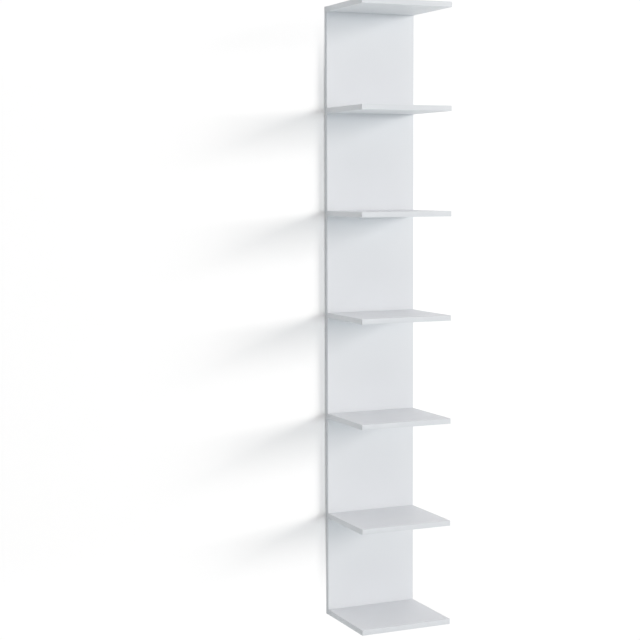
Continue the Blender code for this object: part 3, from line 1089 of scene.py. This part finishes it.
for side, across, tilt in (("left", -middle_of_strip, 180), ("right", middle_of_strip, 0)):
    edge_panel(side, (across, half_height), (across, -half_height), panel_edging_finish, tilt)
for side, up, tilt in (("top", end_height, -90), ("bottom", -end_height, 90)):
    edge_panel(side, (-end_reach, up), (end_reach, up), shelf_edging_finish, tilt)

# %% [markdown]
# ## Connector screws
#
# A connector screw has a countersunk head with a hexagon socket, a plain neck that fills the
# panel, and a coarse sharp thread that cuts into the end of the shelf. The body is turned. For the
# ridge of the thread, a section with a narrow crest is swept along a spiral and shrinks at both
# ends, as a rolled thread runs out. A Boolean joins the ridge to the body, and another takes the
# socket out.

# %% A tree that cuts a thread on a body and sinks a recess in its head
THREAD_STEPS = 16
SUNK = 0.00012
HALF_CREST = 0.00008
HALF_ROOT_SHARE = 0.55
RUN_OUT_LEAST = 0.05


def make_thread_tree():
    tree, given = new_tree(
        "thread",
        Float=["Start", "Pitch", "Turns", "Core", "Crest"],
        Object=["Recess"],
        Vector=["Recess Turn"],
    )
    spiral = {
        "Resolution": THREAD_STEPS,
        "Rotations": given["Turns"],
        "Start Radius": given["Core"],
        "End Radius": given["Core"],
        "Height": times(tree, given["Pitch"], given["Turns"]),
    }
    helix = add(tree, "GeometryNodeCurveSpiral", spiral)
    level = add(tree, "GeometryNodeSetCurveNormal", {0: helix}, mode="Z_UP")
    height = maths(tree, "SUBTRACT", given["Crest"], given["Core"])
    half_root = times(tree, height, HALF_ROOT_SHARE)
    corners = {
        "Point 1": combine(tree, X=-SUNK, Y=times(tree, half_root, -1.0)),
        "Point 2": combine(tree, X=height, Y=-HALF_CREST),
        "Point 3": combine(tree, X=height, Y=HALF_CREST),
        "Point 4": combine(tree, X=-SUNK, Y=half_root),
    }
    section = add(tree, "GeometryNodeCurvePrimitiveQuadrilateral", corners, mode="POINTS")
    along = add(tree, "GeometryNodeSplineParameter", output="Factor")
    to_nearer_end = maths(tree, "MINIMUM", along, maths(tree, "SUBTRACT", 1.0, along))
    turns_to_end = times(tree, to_nearer_end, given["Turns"])
    run_out = maths(tree, "MAXIMUM", maths(tree, "MINIMUM", turns_to_end, 1.0), RUN_OUT_LEAST)
    ridge = sweep(tree, level, section, Scale=run_out)
    start = combine(tree, Y=times(tree, given["Start"], -1.0))
    laying = {0: ridge, "Rotation": (math.pi / 2, 0, 0), "Translation": start}
    laid = add(tree, "GeometryNodeTransform", laying)
    body = boolean(tree, "UNION", {1: laid})
    tree.links.new(given["Geometry"], body.node.inputs[1])
    recess = shape_of(tree, given["Recess"])
    turning = {0: recess, "Rotation": given["Recess Turn"]}
    for tool in (recess, add(tree, "GeometryNodeTransform", turning)):
        body = cut(tree, body, tool)
    end_tree(tree, body, given["Finish"])
    return tree


thread_tree = make_thread_tree()


def make_screw(name, profile, sides, recess, thread_end, **sizes):
    """A zinc-plated screw. The sizes are the thread's. The recess is thrown away."""
    body = turn(f"{name}_body", profile, zinc, sides)
    body_mesh = body.data
    throw_away(body)
    turns = (thread_end - sizes["Start"]) / sizes["Pitch"]
    screw = grow(name, thread_tree, body_mesh, **sizes, Turns=turns, Recess=recess, Finish=zinc)
    throw_away(recess)
    return screw


# %% The connector screws
SCREW_HEAD_EASED = 0.0002
SCREW_TIP = 0.0016
SCREW_TIP_LENGTH = 0.0050
SCREW_TIP_EASED = 0.0004
THREAD_START = 0.0150
NECK_END = THREAD_START - 0.0025
CORE_START = THREAD_START - 0.0016
HEX_SOCKET = 0.0020 / math.cos(math.pi / 6)
SOCKET_DEPTH = 0.0030
SOCKET_POINT = 0.0009
SOCKET_FLARE = 0.0014
SOCKET_LEAD_IN = 0.0003

screw_profile = [
    (SCREW_HEAD - SCREW_HEAD_EASED, 0),
    (SCREW_HEAD, SCREW_HEAD_EASED),
    *countersink(SCREW_HEAD, SCREW_RIM, SCREW_NECK),
    (SCREW_NECK, NECK_END),
    (SCREW_CORE, CORE_START),
    (SCREW_CORE, SCREW_LENGTH - SCREW_TIP_LENGTH),
    (SCREW_TIP, SCREW_LENGTH - SCREW_TIP_EASED),
    (SCREW_TIP - SCREW_TIP_EASED, SCREW_LENGTH),
]
socket_profile = [
    (HEX_SOCKET + SOCKET_FLARE, -OVERRUN),
    (HEX_SOCKET, SOCKET_LEAD_IN),
    (HEX_SOCKET, SOCKET_DEPTH),
    (OFF_AXIS, SOCKET_DEPTH + SOCKET_POINT),
]
screw = make_screw(
    "connector_screw",
    screw_profile,
    sides=40,
    recess=turn("hexagon_socket", socket_profile, zinc, sides=6),
    thread_end=SCREW_LENGTH - 0.0030,
    Start=THREAD_START,
    Pitch=0.0030,
    Core=SCREW_CORE,
    Crest=SCREW_THREAD,
)
set_out("connector_screws", screw, connector_screw_names, zinc, "zinc")

# %% [markdown]
# ## Plate screws
#
# The small countersunk screws of the hanger plates come from the same trees. Their recess is a
# cross: one tapered blade that is sunk twice, the second time a quarter turn round.

# %% The blade of the cross recess
BLADE_REACH = 0.0019
BLADE_HALF_THICKNESS = 0.00042
# For its rear and its tip: how far it reaches, half its thickness, and its place along Y.
BLADE_ENDS = [
    (BLADE_REACH, BLADE_HALF_THICKNESS, OVERRUN / 2),
    (BLADE_REACH * 0.45, BLADE_HALF_THICKNESS * 0.7, -0.0017),
]
blade_points = [
    (x, y, z)
    for reach, half_thickness, y in BLADE_ENDS
    for x, z in rectangle(-reach, reach, -half_thickness, half_thickness)
]
blade_mesh = bpy.data.meshes.new("blade")
blade_mesh.from_pydata(blade_points, [], [(3, 2, 1, 0), (4, 5, 6, 7), *RING_OF_FACES])
print("corners of the blade:", len(blade_points))

# %% The plate screws
PLATE_SCREW_EASED = 0.0001
PLATE_SCREW_NECK = PLATE_SCREW_THREAD - 0.0002
PLATE_SCREW_TIP_LENGTH = 0.0030
PLATE_CORE_START = PLATE_SCREW_RIM + PLATE_SCREW_HEAD - PLATE_SCREW_THREAD + 0.0008

plate_screw_profile = [
    (PLATE_SCREW_HEAD - PLATE_SCREW_EASED, 0),
    (PLATE_SCREW_HEAD, PLATE_SCREW_EASED),
    *countersink(PLATE_SCREW_HEAD, PLATE_SCREW_RIM, PLATE_SCREW_NECK),
    (PLATE_SCREW_CORE, PLATE_CORE_START),
    (PLATE_SCREW_CORE, PLATE_SCREW_LENGTH - PLATE_SCREW_TIP_LENGTH),
    (OFF_AXIS, PLATE_SCREW_LENGTH),
]
plate_screw = make_screw(
    "plate_screw",
    plate_screw_profile,
    sides=32,
    recess=new_object("blade", blade_mesh),
    thread_end=PLATE_SCREW_LENGTH - 0.0026,
    Start=0.0032,
    Pitch=0.0013,
    Core=PLATE_SCREW_CORE,
    Crest=PLATE_SCREW_THREAD,
    Recess_Turn=(0, math.pi / 2, 0),
)
set_out("plate_screws", plate_screw, plate_screw_names, zinc, "zinc")

# %% [markdown]
# ## Dowels
#
# A beech dowel lies between the screws and keeps the shelf from turning. Its chamfered ends find
# the hole, and its straight flutes let the glue out. The turning tree makes it from a profile of
# four points and ten flutes.

# %% The dowels
DOWEL_CHAMFER = 0.0010

dowel_profile = [
    (DOWEL_RADIUS - DOWEL_CHAMFER, 0),
    (DOWEL_RADIUS, DOWEL_CHAMFER),
    (DOWEL_RADIUS, DOWEL_LENGTH - DOWEL_CHAMFER),
    (DOWEL_RADIUS - DOWEL_CHAMFER, DOWEL_LENGTH),
]
dowel = turn("dowel", dowel_profile, beech, sides=120, Flutes=10, Flute_Share=0.1)
set_out("beech_dowels", dowel, dowel_names, beech, "beech")

# %% [markdown]
# ## Hanger plates
#
# A keyhole plate is a stamped steel blank with round ends. The wall screw's head enters the round
# part of the keyhole, and the shelf then slides down until the narrow part holds it. The tree
# stamps the keyhole out of the blank as a round hole and a slot, and sinks the two screw holes
# with a drill like the one that was used on the panel.

# %% A tree for the keyhole plate
def make_plate_tree():
    tree, given = new_tree(
        "keyhole_plate",
        Float=["Width", "Length", "Thickness", "Entry Radius", "Slot Width", "Rise"],
        Object=["Screw Holes"],
    )
    front = combine(tree, Y=times(tree, given["Thickness"], -1.0))
    plate = upright_slot(tree, given["Width"], given["Length"], (0, 0, 0), front)
    through = ((0, OVERRUN, 0), (0, -PLATE_THICKNESS - OVERRUN, 0))
    slot_length = maths(tree, "ADD", given["Rise"], given["Slot Width"])
    slot = upright_slot(tree, given["Slot Width"], slot_length, *through)
    entry_width = times(tree, given["Entry Radius"], 2.0)
    entry = upright_slot(tree, entry_width, entry_width, *through)
    below = combine(tree, Z=times(tree, given["Rise"], -0.5))
    lowered = add(tree, "GeometryNodeTransform", {0: entry, "Translation": below})
    for tool in (slot, lowered, shape_of(tree, given["Screw Holes"])):
        plate = cut(tree, plate, tool)
    end_tree(tree, plate, given["Finish"])
    return tree


# %% The hanger plates
PLATE_HOLE_HEAD = PLATE_SCREW_HEAD + 0.0001
PLATE_HOLE = PLATE_SCREW_THREAD + 0.0002

plate_hole_profile = [
    (PLATE_HOLE_HEAD, -OVERRUN),
    *countersink(PLATE_HOLE_HEAD, PLATE_SCREW_RIM, PLATE_HOLE),
    (PLATE_HOLE, PLATE_THICKNESS + OVERRUN),
]
upper_screw, lower_screw = rear_ends(plate_screw_names[:2])
half_spacing = abs(upper_screw.z - lower_screw.z) / 2
plate_hole = turn("plate_hole", plate_hole_profile, zinc, sides=40)
plate_holes = repeat("plate_holes", plate_hole, [(0, 0, half_spacing), (0, 0, -half_spacing)], zinc)
plate = grow(
    "keyhole_plate",
    make_plate_tree(),
    Width=PLATE_WIDTH,
    Length=PLATE_LENGTH,
    Thickness=PLATE_THICKNESS,
    Entry_Radius=KEYHOLE_ENTRY,
    Slot_Width=KEYHOLE_SLOT,
    Rise=KEYHOLE_RISE,
    Screw_Holes=plate_holes,
    Finish=zinc,
)
throw_away(plate_holes)
set_out("hanger_plates", plate, HANGER_NAMES, zinc, "zinc")
